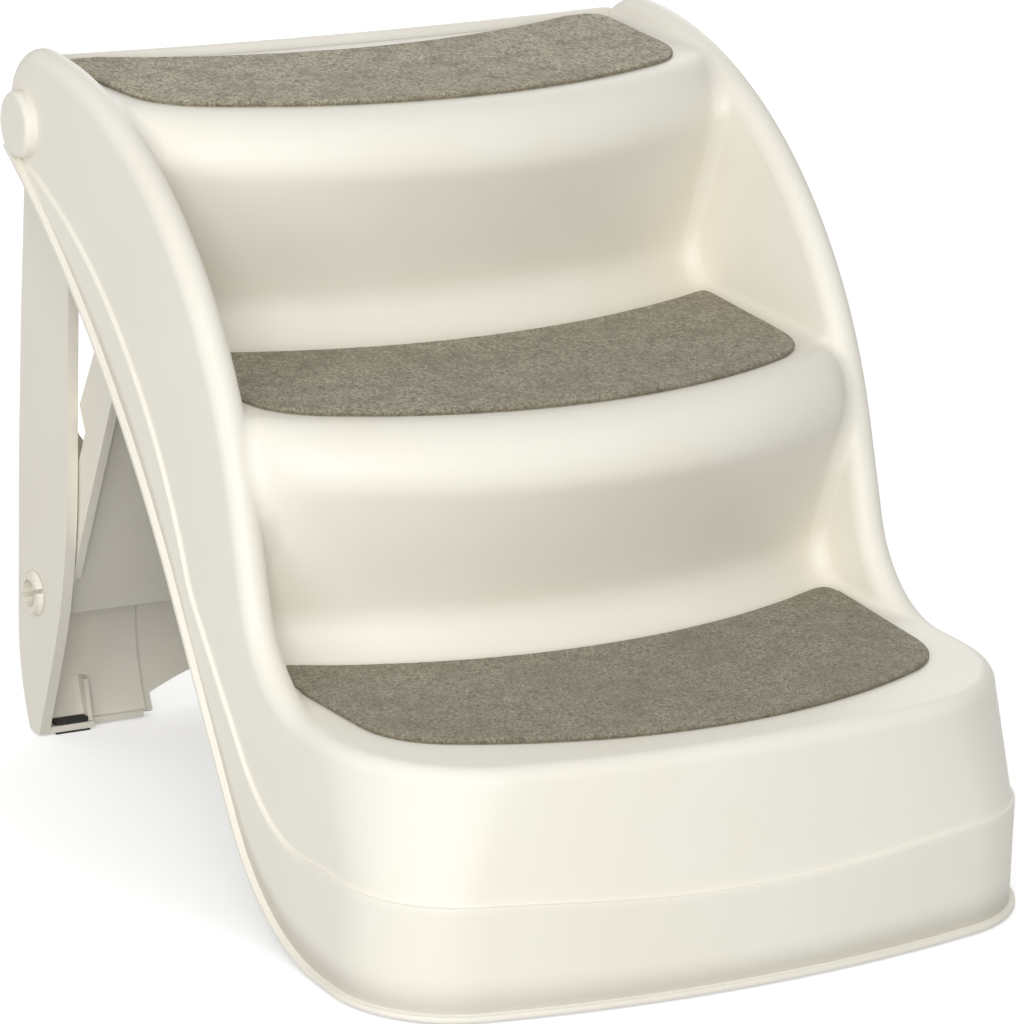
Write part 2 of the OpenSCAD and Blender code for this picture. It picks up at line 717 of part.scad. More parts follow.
// Rubber pads: a sole under the foot, a neck through it and a head that holds it
module rear_pad() {
    function block(w, d) = [w, d] - 2 * run_gap * [1, 1];
    color(rubber) translate([pad_x, pad_y, 0]) {
        linear_extrude(floor_gap) square([pad_w, pad_d], center = true);
        linear_extrude(floor_gap + foot_floor_t)
            square(block(neck_share * pad_w, neck_d_share * pad_d), center = true);
        translate([0, 0, floor_gap + foot_floor_t]) linear_extrude(pad_head_h)
            offset(r = pad_head_h, $fn = 32) offset(delta = -pad_head_h)
                square([pad_w, head_d_share * pad_d], center = true);
    }
}
module front_pad() {
    color(rubber) translate([front_pad_x, front_pad_y, 0]) {
        cylinder(h = floor_gap, d = front_pad_d, $fn = 48);
        cylinder(h = floor_gap + tab_t, d = front_pad_d / 2 - 2 * run_gap, $fn = 48);
        translate([0, 0, floor_gap + tab_t])
            cylinder(h = pad_head_h, d1 = neck_share * front_pad_d, d2 = front_pad_d / 2, $fn = 48);
    }
}
module right_rear_foot_pad() { rear_pad(); }
module left_rear_foot_pad() { mirror([1, 0, 0]) rear_pad(); }
module right_front_foot_pad() { front_pad(); }
module left_front_foot_pad() { mirror([1, 0, 0]) front_pad(); }

step_shell();
top_tread_mat();
middle_tread_mat();
bottom_tread_mat();
left_pivot_pin();
right_pivot_pin();
rear_leg();
brace();
left_rear_foot_pad();
right_rear_foot_pad();
left_front_foot_pad();
right_front_foot_pad();
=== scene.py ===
"""Looks of the folding pet stairs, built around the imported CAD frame.

The moulded shell is drawn anew as a smooth skin over the same curves, the felt mats as soft-edged felt,
and the other CAD pieces keep their shape and get rounded edges and a moulded material.
Outlines below are in millimetres as (y, z) points and angles in degrees; meshes are made in metres.
A length d draws an outline inwards, and names that end in _n count steps.
"""

import math

import bmesh
import bpy
import numpy as np
from mathutils import Matrix, noise, Vector


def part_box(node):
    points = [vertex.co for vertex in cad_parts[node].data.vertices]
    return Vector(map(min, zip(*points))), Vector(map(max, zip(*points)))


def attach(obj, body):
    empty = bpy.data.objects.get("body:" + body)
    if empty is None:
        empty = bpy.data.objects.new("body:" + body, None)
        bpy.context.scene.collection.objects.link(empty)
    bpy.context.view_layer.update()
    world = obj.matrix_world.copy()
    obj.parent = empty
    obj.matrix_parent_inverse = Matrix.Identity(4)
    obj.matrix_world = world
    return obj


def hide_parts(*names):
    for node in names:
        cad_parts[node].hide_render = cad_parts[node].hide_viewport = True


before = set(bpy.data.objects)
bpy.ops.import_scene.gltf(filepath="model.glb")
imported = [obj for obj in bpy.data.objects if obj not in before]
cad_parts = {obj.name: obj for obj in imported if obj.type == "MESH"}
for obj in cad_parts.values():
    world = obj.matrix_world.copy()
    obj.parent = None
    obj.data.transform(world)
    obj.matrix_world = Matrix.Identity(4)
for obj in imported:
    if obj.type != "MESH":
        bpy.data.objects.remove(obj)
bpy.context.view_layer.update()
MM = 0.001


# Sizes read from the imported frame, in millimetres
def box_mm(node):
    low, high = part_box(node)
    return np.array(low) / MM, np.array(high) / MM


shell_low, shell_high = box_mm("step_shell")
pin_low, pin_high = box_mm("right_pivot_pin")
leg_high = box_mm("rear_leg")[1]
tread_zs = [box_mm(node)[0][2] for node in ("bottom_tread_mat", "middle_tread_mat", "top_tread_mat")]
mat_t = box_mm("top_tread_mat")[1][2] - tread_zs[2]
pivot = (pin_low[1:] + pin_high[1:]) / 2
stairs_d = 2 * leg_high[1]
rim_x = shell_high[0]
floor_gap = shell_low[2]

# Treads and risers, as in the part's source
first_run = 146
run = 141
nose_r = 25
foot_r = 20
tuck = 34.5
nose_bow_r = 300
foot_bow_r = 350
nose_end_r = 30
nose_end_w = 18
wall = 2.6
deck_back = 6.5
deck_bow_r = 1500
lip_w = 4
lip_drop = 6
cove_r = 9

# Rails, skirt band and rim
rail_w = 17
rail_h = shell_high[2] - tread_zs[2]
rim_out = 3
rim_t = 3
band_out = 2
band_z = 52
crest_r = 253
crest_a = 72
toe_r = 61
back_r = 34
back_a = 50
apex_fore = 10
tip_drop = 13.5
corner_r = 58
corner_more = 22
front_draft = 8
front_bow_r = 700

# Ribs and the catch bar under the treads
rib_t = 2.4
rib_h = 8
bar_r = 4
catch_r = 6
catch_web_x = 100

band_x = rim_x - rim_out
wall_x = band_x - band_out
rail_r = rail_w / 2
rail_x = wall_x - rail_r
inner_x = wall_x - rail_w
cove_x = inner_x - cove_r
rim_front = -stairs_d / 2
front_y = rim_front + rim_out + band_out
nose_ys = [0, rim_front + first_run, rim_front + first_run + run]
deck_z = tread_zs[2]
edge_z = tread_zs[0] - rail_r

# Outlines run on level by this much past the toe and behind the deck
toe_run = 90
deck_run = 30

toe_n = 40
crest_n = 90
back_n = 20
step_n = 66
bend_n = 10
rim_n = 80
riser_n = 24
round_step = 10


def polar(a):
    return np.array([math.cos(math.radians(a)), math.sin(math.radians(a))])


def arc(centre, r, from_a, to_a, n):
    a = np.radians(np.linspace(from_a, to_a, n + 1))
    return np.column_stack([centre[0] + r * np.cos(a), centre[1] + r * np.sin(a)])


def sag(x, r):
    """How far a bow of radius r falls back at x from its middle."""
    return r - np.sqrt(r * r - np.asarray(x, float) ** 2)


def ease(share):
    return share * share * (3 - 2 * share)


def lengths(line):
    """Length along a line up to each of its points."""
    return np.r_[0, np.cumsum(np.linalg.norm(np.diff(line, axis=0), axis=1))]


def along(line, shares):
    """Points at shares of a line's length."""
    length = lengths(line)
    return np.column_stack([np.interp(np.asarray(shares) * length[-1], length, line[:, i]) for i in (0, 1)])


def at_x(x, line):
    return np.column_stack([np.full(len(line), x), line])


def toe_centre(start, low_z, r, a):
    """Centre of the curve that levels out at low_z a line falling forwards from start at the angle a."""
    fall = start[1] - low_z - r * (1 - math.cos(math.radians(a)))
    return start + r * polar(90 + a) - [fall / math.tan(math.radians(a)), fall]


# The rail's crest from toe to tip
apex = np.array([pivot[0] - apex_fore, deck_z + rail_h])
crest_c = apex - [0, crest_r]
back_c = apex - [0, back_r]
toe_c = toe_centre(crest_c + crest_r * polar(90 + crest_a), tread_zs[0], toe_r, crest_a)
toe_y = toe_c[0]
tip_z = pivot[1] - tip_drop


def crest_line(d):
    return np.vstack([[[toe_y - toe_run, tread_zs[0] - d]],
                      arc(toe_c, toe_r + d, -90, crest_a - 90, toe_n),
                      arc(crest_c, crest_r - d, 90 + crest_a, 90, crest_n),
                      arc(back_c, back_r - d, 90, back_a, back_n)[1:]])


# The ledge over the skirt band, from tip to toe: a long arc, a bend and a toe
step_r = 330
step_tip_a = 17
step_from_a = 12.5
step_to_a = 62
bend_r = 60
bend_to_a = 47
step_toe_r = 103
step_tip = pivot - [7, 25.4]
step_c = step_tip - step_r * polar(90 + step_tip_a)
bend_c = step_c + (step_r + bend_r) * polar(90 + step_to_a)
step_toe_c = toe_centre(bend_c - bend_r * polar(90 + bend_to_a), band_z, step_toe_r, bend_to_a)
# The ledge leaves these plain arcs by this much, up and forwards, at these heights
step_zs = [60, 85, 110, 150, 190, 225, 260, 290, 322]
step_offs = [0, -0.9, -1.7, -0.2, 1.0, 2.1, 3.2, 4.3, 4.4]
step_off_way = [-0.6, 0.8]

# The rim line, from tip to toe: a long arc and a toe
rim_r = 640
rim_from_a = 29
rim_to_a = 54
rim_toe_r = 120
rim_tip = pivot + [16, -15.5]
rim_c = rim_tip - rim_r * polar(90 + rim_from_a)
rim_toe_c = toe_centre(rim_c + rim_r * polar(90 + rim_to_a), floor_gap, rim_toe_r, rim_to_a)


def step_z(y, d):
    return step_toe_c[1] - np.sqrt((step_toe_r + d) ** 2 - np.maximum(0, y - step_toe_c[0]) ** 2)


def rim_z(y, d):
    return rim_toe_c[1] - np.sqrt((rim_toe_r - d) ** 2 - np.maximum(0, y - rim_toe_c[0]) ** 2)


def step_line(d):
    toe_a = -math.degrees(math.acos((toe_y - step_toe_c[0]) / (step_toe_r + d)))
    line = np.vstack([arc(step_c, step_r - d, 90 + step_from_a, 90 + step_to_a, step_n),
                      arc(bend_c, bend_r + d, step_to_a - 90, bend_to_a - 90, bend_n)[1:],
                      arc(step_toe_c, step_toe_r + d, bend_to_a - 90, toe_a, toe_n)])[::-1]
    return line + np.interp(line[:, 1], step_zs, step_offs)[:, None] * step_off_way


def rim_line(d):
    toe_a = -math.degrees(math.acos((toe_y - rim_toe_c[0]) / (rim_toe_r - d)))
    return np.vstack([arc(rim_c, rim_r + d, 90 + rim_from_a, 90 + rim_to_a, rim_n),
                      arc(rim_toe_c, rim_toe_r - d, rim_to_a - 90, toe_a, toe_n)])[::-1]


# Treads and risers seen from the side at width x
def nose_end(x):
    """How far a nosing draws back where it nears the rail."""
    past = max(0, abs(x) - inner_x + nose_end_w)
    return nose_end_r - math.sqrt(nose_end_r ** 2 - past * past)


def riser(k, x, d):
    """The riser up to tread k, from its foot over its nosing."""
    nose = np.array([nose_ys[k] + nose_r + sag(x, nose_bow_r) + nose_end(x), tread_zs[k] - nose_r])
    foot = np.array([nose_ys[k] + tuck - foot_r + sag(x, foot_bow_r), tread_zs[k - 1] + foot_r])
    way = nose - foot
    turn_a = math.degrees(math.atan2(way[1], way[0]) - math.acos((nose_r + foot_r) / np.hypot(*way)))
    return np.vstack([arc(foot, foot_r + d, -90, turn_a, riser_n),
                      arc(nose, nose_r - d, 180 + turn_a, 90, riser_n)])


def deck_back_y(x):
    return pivot[0] + deck_back + sag(x, deck_bow_r)


def skin(x, d=0):
    return np.vstack([[[toe_y - toe_run, tread_zs[0] - d]], riser(1, x, d), riser(2, x, d),
                      [[deck_back_y(x) + deck_run, deck_z - d]]])


# Mesh helpers
def mesh_object(name, points, faces, scale=MM):
    mesh = bpy.data.meshes.new(name)
    mesh.from_pydata([tuple(p) for p in np.asarray(points, float) * scale], [], [tuple(f) for f in faces])
    mesh.validate()
    obj = bpy.data.objects.new(name, mesh)
    bpy.context.scene.collection.objects.link(obj)
    return obj


class Patchwork:
    """Gathers grids and plates of points into one mesh."""

    def __init__(self):
        self.points = []
        self.faces = []

    def add(self, points, faces, mirrored=False):
        points = np.asarray(points, float)
        for side in ((1, -1) if mirrored else (1,)):
            base = len(self.points)
            self.points.extend(points * [side, 1, 1])
            self.faces.extend([[base + i for i in (f if side > 0 else f[::-1])] for f in faces])

    def grid(self, rows, mirrored=False, closed=False, capped=True):
        """Faces between rows of points; closed rows are rings, with both end rings capped or left open."""
        rows = np.asarray(rows, float)
        n, m = rows.shape[:2]
        columns = range(m) if closed else range(m - 1)
        faces = [[i * m + j, i * m + (j + 1) % m, (i + 1) * m + (j + 1) % m, (i + 1) * m + j]
                 for i in range(n - 1) for j in columns]
        if closed and capped:
            faces += [list(range(m))[::-1], [(n - 1) * m + j for j in range(m)]]
        self.add(rows.reshape(-1, 3), faces, mirrored)

    def plate(self, outline, x0, x1, mirrored=False):
        """A flat plate across x from a side outline."""
        self.grid([at_x(x, outline) for x in (x0, x1)], mirrored, closed=True)

    def build(self, name, merge=0.02):
        obj = mesh_object(name, self.points, self.faces)
        bm = bmesh.new()
        bm.from_mesh(obj.data)
        bmesh.ops.remove_doubles(bm, verts=bm.verts, dist=merge * MM)
        bmesh.ops.recalc_face_normals(bm, faces=bm.faces)
        bm.to_mesh(obj.data)
        bm.free()
        return obj


def smooth(obj, angle):
    mesh = obj.data
    mesh.polygons.foreach_set("use_smooth", [True] * len(mesh.polygons))
    mesh.set_sharp_from_angle(angle=math.radians(angle))


# Columns across one half: the treads, the cove at the rail, then the rail's inner side up to its crest
even_x = 150
even_n = 15
beside_cove_x = 154
tread_xs = np.r_[np.linspace(0, even_x, even_n + 1), beside_cove_x, cove_x]
cove_xs = cove_x + cove_r * np.sin(np.radians(np.arange(round_step, 90, round_step)))
crest_xs = rail_x - rail_r * np.cos(np.radians(np.arange(0, 91, round_step)))
half_xs = np.r_[tread_xs, cove_xs, crest_xs]

# Rows along the stairs: upright at the toe, they lean by lean_a once lean_run past it
row_gap = 2.4
row_bow_r = 320
lean_run = 40
lean_a = 45
# Beyond fan_from the rows beside the rail draw together and end at fan_to
fan_from = 380
fan_to = 406.5
# On the deck's rear part the rows leave the nosings' bow and follow the deck's back edge
deck_near = 0.5
back_from = 60
back_run = 60


def rail_depth(x):
    return rail_r - np.sqrt(np.maximum(0, rail_r ** 2 - (np.asarray(x) - rail_x) ** 2))


def row_frames():
    """Origin, direction along the stairs and direction off them for each row of the shell's grid."""
    side = skin(cove_x)
    length = lengths(side)
    start = toe_y - side[0][0]
    stop = length[-1] - deck_run - 2 * lip_w
    at = np.linspace(start, stop, int((stop - start) / row_gap))
    places = np.column_stack([np.interp(at, length, side[:, i]) for i in (0, 1)])
    lean = np.radians(lean_a) * ease(np.clip((at - start) / lean_run, 0, 1))
    fore = np.column_stack([np.cos(lean), np.sin(lean)])
    off = np.column_stack([-np.sin(lean), np.cos(lean)])
    return places, fore, off


origins, fores, offs = row_frames()
on_deck = np.clip((origins[:, 1] - deck_z + deck_near) / deck_near, 0, 1)
back_share = on_deck * np.clip((origins[:, 0] - nose_ys[2] - back_from) / back_run, 0, 1)


def row_place(x):
    """How far along each row lies at width x: it bows with the nosings and ends with the deck's back edge."""
    bow = sag(min(abs(x), cove_x), row_bow_r) - sag(cove_x, row_bow_r)
    back = sag(min(abs(x), cove_x), deck_bow_r) - sag(cove_x, deck_bow_r)
    shift = bow * (1 - back_share) + back * back_share
    place = np.einsum("ij,ij->i", origins, fores) + fores[:, 0] * shift
    fan = fan_from + (place - fan_from) * (fan_to - fan_from) / (place[-1] - fan_from)
    fanned = np.where(place > fan_from, fan, place)
    share = np.clip((abs(x) - cove_x) / cove_r, 0, 1)
    return place * (1 - share) + fanned * share


def height(line, places):
    """Height of a side outline over each row's place."""
    heights = np.empty(len(places))
    for i, place in enumerate(places):
        forwards = np.maximum.accumulate(line @ fores[i])
        heights[i] = np.interp(place, forwards, line @ offs[i])
    return heights


def row_points(places, heights):
    return places[:, None] * fores + heights[:, None] * offs


# The cove is rolled with a ball over closely spaced widths near the rail, and used past roll_used_x
roll_from_x = 140
roll_used_x = 145
roll_gap = 0.5
NEAR = 1e-6
TOUCHING = 1e-4
FAR = 1e6


def shell_rows():
    """Points of the half grid: heights of treads and rail with a rolled cove between them."""
    fine = np.unique(np.r_[np.arange(roll_from_x, inner_x, roll_gap), cove_x, cove_xs, crest_xs])
    raw = np.empty((len(origins), len(fine)))
    for k, x in enumerate(fine):
        places = row_place(x)
        raw[:, k] = height(skin(x), places)
        if x >= inner_x - NEAR:
            raw[:, k] = np.maximum(raw[:, k], height(crest_line(float(rail_depth(x))), places))
    apart = np.abs(fine[:, None] - fine[None, :])
    ball = np.where(apart < cove_r - TOUCHING, np.sqrt(np.maximum(0, cove_r ** 2 - apart ** 2)), -FAR)
    centre = (raw[:, None, :] + ball[None]).max(2)
    rolled = (centre[:, None, :] - ball[None]).min(2)
    rows = np.empty((len(origins), len(half_xs), 3))
    for k, x in enumerate(half_xs):
        places = row_place(x)
        heights = rolled[:, np.argmin(np.abs(fine - x))] if x > roll_used_x else height(skin(x), places)
        rows[:, k, 0] = x
        rows[:, k, 1:] = row_points(places, heights)
    return rows


# Columns from the crest outwards and down: rail, wall, ledge and band
# The ledge's section as (out from the wall, in from the ledge's line), the band's as shares of its height
round_as = np.arange(round_step, 91, round_step)
ledge_section = [(0, -6), (0, -2), (0, -0.5), (0.15, -0.15), (0.7, 0), (1.5, 0.05), (1.85, 0.25), (2, 0.7)]
band_shares = (0.06, 0.3, 0.65, 1)
# Rows behind the crest: round the rail's back, then straight down to the tip
tip_round_n = 13
tip_fall_n = 3
# The ledge lies a little higher round the front corners than in the middle of the front
corner_rise = 6
rise_from_y = -95
rise_run_y = 70
rise_from_x = 20
rise_run_x = 130


def ledge_lift(x, y):
    fore = np.clip((rise_from_y - np.asarray(y, float)) / rise_run_y, 0, 1)
    side = np.clip((np.abs(x) - rise_from_x) / rise_run_x, 0, 1)
    return corner_rise * ease(fore) * ease(side)


def outer_side():
    """Outer columns beside every row of the half grid and on round the rail's back end to its tip."""
    places = row_place(inner_x)
    inner = []
    outer = []
    for a in np.r_[-90:1:round_step, round_as]:
        x = rail_x + rail_r * math.sin(math.radians(a))
        d = float(rail_r - rail_r * math.cos(math.radians(a)))
        main = row_points(places, height(crest_line(d), places))
        start = main[-1] - back_c
        start_a = math.degrees(math.atan2(start[1], start[0]))
        fall = [[back_c[0] + back_r - d, z] for z in np.linspace(back_c[1], tip_z, tip_fall_n + 1)[1:]]
        extra = np.vstack([arc(back_c, back_r - d, start_a, 0, tip_round_n)[1:], fall])
        if x <= rail_x + NEAR:
            inner.append(at_x(x, extra))
        else:
            outer.append(at_x(x, np.vstack([main, extra])))
    length = lengths(outer[-1][:, 1:])
    shares = length / length[-1]
    for out, d in ledge_section:
        line = along(step_line(d), shares)
        line[:, 1] += ledge_lift(wall_x, line[:, 0])
        outer.append(at_x(wall_x + out, line))
    high = outer[-1][:, 1:]
    low = along(rim_line(rim_t - 1), shares)
    for share in band_shares:
        outer.append(at_x(band_x, high + (low - high) * share))
    return np.stack(outer, 1), np.stack(inner, 1), shares


side_n = 7
corner_n = 15


def plan(front, half_w, r, n):
    """Half the front's outline from above: forwards from the toe, round the corner and to the middle."""
    bow_y = front + front_bow_r
    corner_y = bow_y - math.sqrt((front_bow_r - r) ** 2 - (half_w - r) ** 2)
    turn_a = math.degrees(math.atan2(corner_y - bow_y, half_w - r))
    side = [[half_w, y] for y in np.linspace(toe_y, corner_y, side_n + 1)[:-1]]
    corner = arc((half_w - r, corner_y), r, 0, turn_a, corner_n)
    bow = arc((0, bow_y), front_bow_r, turn_a, -90, n - side_n - corner_n - 1)[1:]
    return np.vstack([side, corner, bow])


def front_columns(n):
    """Outer columns round the front, beside the same heights as the side's."""
    columns = []
    for a in np.r_[0, round_as]:
        within = rail_r * (1 - math.sin(math.radians(a)))
        line = plan(front_y + front_draft + within, wall_x - within, corner_r + corner_more - within, n)
        z = np.full(n, tread_zs[0] - rail_r * (1 - math.cos(math.radians(a))))
        columns.append(np.column_stack([line, z]))
    for out, d in ledge_section:
        line = plan(front_y - out, wall_x + out, corner_r + out, n)
        z = step_z(line[:, 1], d)
        if d < 0:
            up = np.clip(-d / (edge_z - band_z), 0, 1)
            line = plan(front_y + front_draft * up - out, wall_x + out, corner_r + corner_more * up + out, n)
        columns.append(np.column_stack([line, z + ledge_lift(line[:, 0], line[:, 1])]))
    line = plan(front_y - band_out, band_x, corner_r + band_out, n)
    high = columns[-1][:, 2]
    low = rim_z(line[:, 1], rim_t - 1)
    for share in band_shares:
        columns.append(np.column_stack([line, high + (low - high) * share]))
    return np.stack(columns, 1)


def rail_end(rows, tips):
    """The grids behind the last row: the cove's end beside the lip, and the rail's inner side to its tip."""
    first = rows[-1:, -len(crest_xs):]
    fall = np.clip((tips[:, -1, 2] - deck_z) / (first[0, -1, 2] - deck_z), 0, 1)
    over = deck_z + (first[0, :, 2] - deck_z)[None] * fall[:, None]
    above = int((fall > 0).sum()) + 1
    tips[:above, :, 2] = np.maximum(tips[:above, :, 2], over[:above])
    rail = np.concatenate([first, tips])
    cove = rows[-1, len(tread_xs) - 1:len(tread_xs) + len(cove_xs)]
    stop = tips[above - 1, 0, 1] + deck_back_y(cove[:, 0]) - deck_back_y(inner_x)
    gone = (tips[:above, :1, 1] - first[0, 0, 1]) / (tips[above - 1, 0, 1] - first[0, 0, 1])
    end = np.repeat(cove[None], above + 1, 0)
    end[1:, :, 1] = cove[:, 1] + (stop - cove[:, 1])[None] * gone
    end[1:, :, 2] = deck_z + (cove[:, 2] - deck_z)[None] * fall[:above, None]
    return np.concatenate([end, rail[:above + 1, :1]], 1), rail


def make_skin():
    """Treads, risers, rails, wall and band as one skin, and its rows' shares of the side's length."""
    work = Patchwork()
    rows = shell_rows()
    outer, tips, shares = outer_side()
    work.grid(np.concatenate([rows, outer[:len(rows)]], 1), mirrored=True)
    end, rail = rail_end(rows, tips)
    work.grid(end, mirrored=True)
    work.grid(np.concatenate([rail, outer[len(rows) - 1:]], 1), mirrored=True)
    last = outer[-1, len(round_as) - 1:]
    work.add(last, [[i, i + 1, len(last) - 1] for i in range(len(last) - 2)], mirrored=True)
    fronts = front_columns(len(half_xs))
    work.grid(fronts, mirrored=True)
    work.grid(np.stack([fronts[:, 0], rows[0, ::-1]], 1), mirrored=True)
    return work.build("shell_skin"), shares


# The deck's lip: its section as (y, z) from the deck's back edge, and its ends that sink into the deck
lip_section = [(-10, -0.08), (-8, -0.02), (-6.9, 0.25), (-5.7, 1.2), (-4.6, 2.9), (-3.9, 3.6), (-3, 3.95),
               (-1, 4), (-0.3, 3.7), (0, 3), (0, -lip_drop + 0.4), (-0.4, -lip_drop), (-wall, -lip_drop),
               (-wall, -wall), (-10, -wall)]
lip_n = 60
lip_end = 175.5
lip_fall_from = 167
lip_sink = 0.3


def make_lip():
    """Raised back edge of the top tread with its turned-down flange."""
    rows = []
    for x in np.linspace(-lip_end, lip_end, lip_n + 1):
        low = np.clip((abs(x) - lip_fall_from) / (lip_end - lip_fall_from), 0, 1) ** 2
        heights = [z * (1 - low) - lip_sink * low if z > 0 else z for _, z in lip_section]
        rows.append([[x, deck_back_y(x) + y, deck_z + z] for (y, _), z in zip(lip_section, heights)])
    work = Patchwork()
    work.grid(rows, closed=True)
    return work.build("deck_lip")


# The rim's section as (out from the band, up from the rim line)
rim_section = [(-wall, 0.2), (-wall + 0.4, 0), (2.3, 0), (2.8, 0.25), (3, 0.8), (3, 2.2), (2.8, 2.75),
               (2.3, 3), (0.8, 3), (0.2, 3.2), (-0.4, 3.8), (-wall, 3.8)]


def make_rim(shares, n):
    """The rim round the foot of the shell, a closed bar with rounded edges."""
    side = np.stack([at_x(band_x + out, along(rim_line(d), shares)) for out, d in rim_section], 1)[:0:-1]
    fronts = []
    for out, d in rim_section:
        line = plan(front_y - band_out - out, band_x + out, corner_r + band_out + out, n)
        fronts.append(np.column_stack([line, rim_z(line[:, 1], d)]))
    half = np.concatenate([side, np.stack(fronts, 1)])
    work = Patchwork()
    work.grid(np.concatenate([half, half[-2::-1] * [-1, 1, 1]]), closed=True)
    return work.build("shell_rim")


skin_obj, side_shares = make_skin()
lip_obj = make_lip()
rim_obj = make_rim(side_shares, len(half_xs))
solid = skin_obj.modifiers.new("wall", "SOLIDIFY")
solid.thickness = wall * MM
solid.offset = -1

# Camera at the photograph's viewpoint, in metres and radians
camera_place = (-1.33948, -2.40627, 1.0196)
camera_yaw = 0.507156752
camera_pitch = 0.29919682
camera_roll = 0.029062725
focal_px = 5629.44
width_px = 1018
sensor_mm = 36
clip_end = 50


def make_camera():
    level = math.cos(camera_pitch)
    ahead = Vector((math.sin(camera_yaw) * level, math.cos(camera_yaw) * level, -math.sin(camera_pitch)))
    right = Vector((math.cos(camera_yaw), -math.sin(camera_yaw), 0))
    up = right.cross(ahead)
    across = math.cos(camera_roll) * right + math.sin(camera_roll) * up
    upward = -math.sin(camera_roll) * right + math.cos(camera_roll) * up
    data = bpy.data.cameras.new("camera")
    data.sensor_fit = "HORIZONTAL"
    data.sensor_width = sensor_mm
    data.lens = focal_px * sensor_mm / width_px
    data.clip_end = clip_end
    camera = bpy.data.objects.new("camera", data)
    bpy.context.scene.collection.objects.link(camera)
    turned = [(*row, at) for row, at in zip(zip(across, upward, -ahead), camera_place)]
    camera.matrix_world = Matrix(turned + [(0, 0, 0, 1)])
    bpy.context.scene.camera = camera


make_camera()


# Node helpers for materials
class Nodes:
    mix_inputs = (6, 7)
    mix_output = 2

    def __init__(self, name):
        self.mat = bpy.data.materials.new(name)
        self.mat.use_nodes = True
        self.tree = self.mat.node_tree
        self.shader = self.tree.nodes["Principled BSDF"]
        self.place = self.add("ShaderNodeTexCoord").outputs["Object"]

    def add(self, kind, links=None, **settings):
        node = self.tree.nodes.new(kind)
        for key, value in settings.items():
            if key in node.inputs:
                node.inputs[key].default_value = value
            else:
                setattr(node, key, value)
        for key, source in (links or {}).items():
            self.tree.links.new(source, node.inputs[key])
        return node

    def feed(self, socket, value):
        """Gives a socket a number, a colour or a link."""
        if isinstance(value, (int, float)):
            socket.default_value = value
        elif hasattr(value, "__len__"):
            socket.default_value = (*value, 1)
        else:
            self.tree.links.new(value, socket)

    def stretched(self, scale, turn=0):
        """Places for a texture, scaled along each axis and turned about z."""
        node = self.add("ShaderNodeMapping", {"Vector": self.place})
        node.inputs["Scale"].default_value = scale
        node.inputs["Rotation"].default_value = (0, 0, turn)
        return node.outputs["Vector"]

    def noise(self, scale, detail=2.0, rough=0.5, vector=None, distortion=0.0):
        node = self.add("ShaderNodeTexNoise", {"Vector": vector or self.place},
                        Scale=scale, Detail=detail, Roughness=rough, Distortion=distortion)
        return node.outputs["Fac"]

    def ramp(self, fac, stops):
        node = self.add("ShaderNodeValToRGB", {"Fac": fac})
        elements = node.color_ramp.elements
        while len(elements) < len(stops):
            elements.new(0.5)
        for element, (at, colour) in zip(elements, stops):
            element.position = at
            element.color = (*colour, 1) if hasattr(colour, "__len__") else (colour, colour, colour, 1)
        return node.outputs["Color"]

    def mix(self, fac, a, b):
        node = self.add("ShaderNodeMix", data_type="RGBA")
        self.feed(node.inputs[0], fac)
        for index, value in zip(self.mix_inputs, (a, b)):
            self.feed(node.inputs[index], value)
        return node.outputs[self.mix_output]

    def math(self, kind, a, b=0.0):
        node = self.add("ShaderNodeMath", operation=kind)
        for index, value in enumerate((a, b)):
            self.feed(node.inputs[index], value)
        return node.outputs[0]

    def bump(self, layers):
        """Bumps of (height, strength, distance in mm), one after another."""
        normal = None
        for bump_height, strength, distance in layers:
            links = {"Height": bump_height} if normal is None else {"Height": bump_height, "Normal": normal}
            node = self.add("ShaderNodeBump", links, Strength=strength, Distance=distance * MM)
            normal = node.outputs["Normal"]
        self.tree.links.new(normal, self.shader.inputs["Normal"])

    def set(self, **values):
        for key, value in values.items():
            self.feed(self.shader.inputs[key.replace("_", " ")], value)


def shaded(colour, share):
    return tuple(part * share for part in colour)


# Moulded plastic: the shell's and the leg's pale and deep tones, and how much of the deep one a speck keeps
shell_tones = (0.835, 0.808, 0.722), (0.815, 0.780, 0.688)
leg_tones = (0.815, 0.782, 0.690), (0.790, 0.750, 0.650)
speck_share = 0.86


def make_plastic(name, pale, deep):
    """Cream moulded plastic: a fine satin grain, faint flow clouds and slightly uneven gloss."""
    n = Nodes(name)
    cloud = n.noise(scale=9, detail=3, rough=0.55)
    speck = n.noise(scale=420, detail=2, rough=0.6)
    tone = n.mix(n.ramp(cloud, [(0.35, 0.0), (0.65, 1.0)]), deep, pale)
    tone = n.mix(n.ramp(speck, [(0.60, 0.0), (0.80, 0.10)]), tone, shaded(deep, speck_share))
    grain = n.noise(scale=1500, detail=3, rough=0.65)
    swell = n.noise(scale=45, detail=1, rough=0.4)
    n.set(Base_Color=tone, Roughness=n.math("ADD", n.math("MULTIPLY", cloud, 0.10), 0.40),
          Specular_IOR_Level=0.42)
    n.bump([(swell, 0.25, 0.25), (grain, 0.35, 0.06)])
    return n.mat


# Felt: the ground's dark, middle and light tones before each mat's share of painted light, then what lies in
# it
felt_ground = [(0.38, (0.098, 0.086, 0.055)), (0.50, (0.264, 0.232, 0.160)), (0.62, (0.49, 0.453, 0.362))]
fibre_tone = (0.56, 0.52, 0.42)
pore_tone = (0.095, 0.082, 0.056)
tuft_tone = (0.41, 0.375, 0.285)
medium_tone = (0.15, 0.130, 0.085)
wide_tone = (0.18, 0.156, 0.100)
# Painted shade for the mats' upright edges
edge_shade_tone = (0.075, 0.064, 0.042)
# Painted light: the three mats are lighter and darker copies of one felt, the top mat lightest as if lit more
# from above
felt_painted_light_shares = {"top": 1.50, "middle": 1.10, "bottom": 0.90}


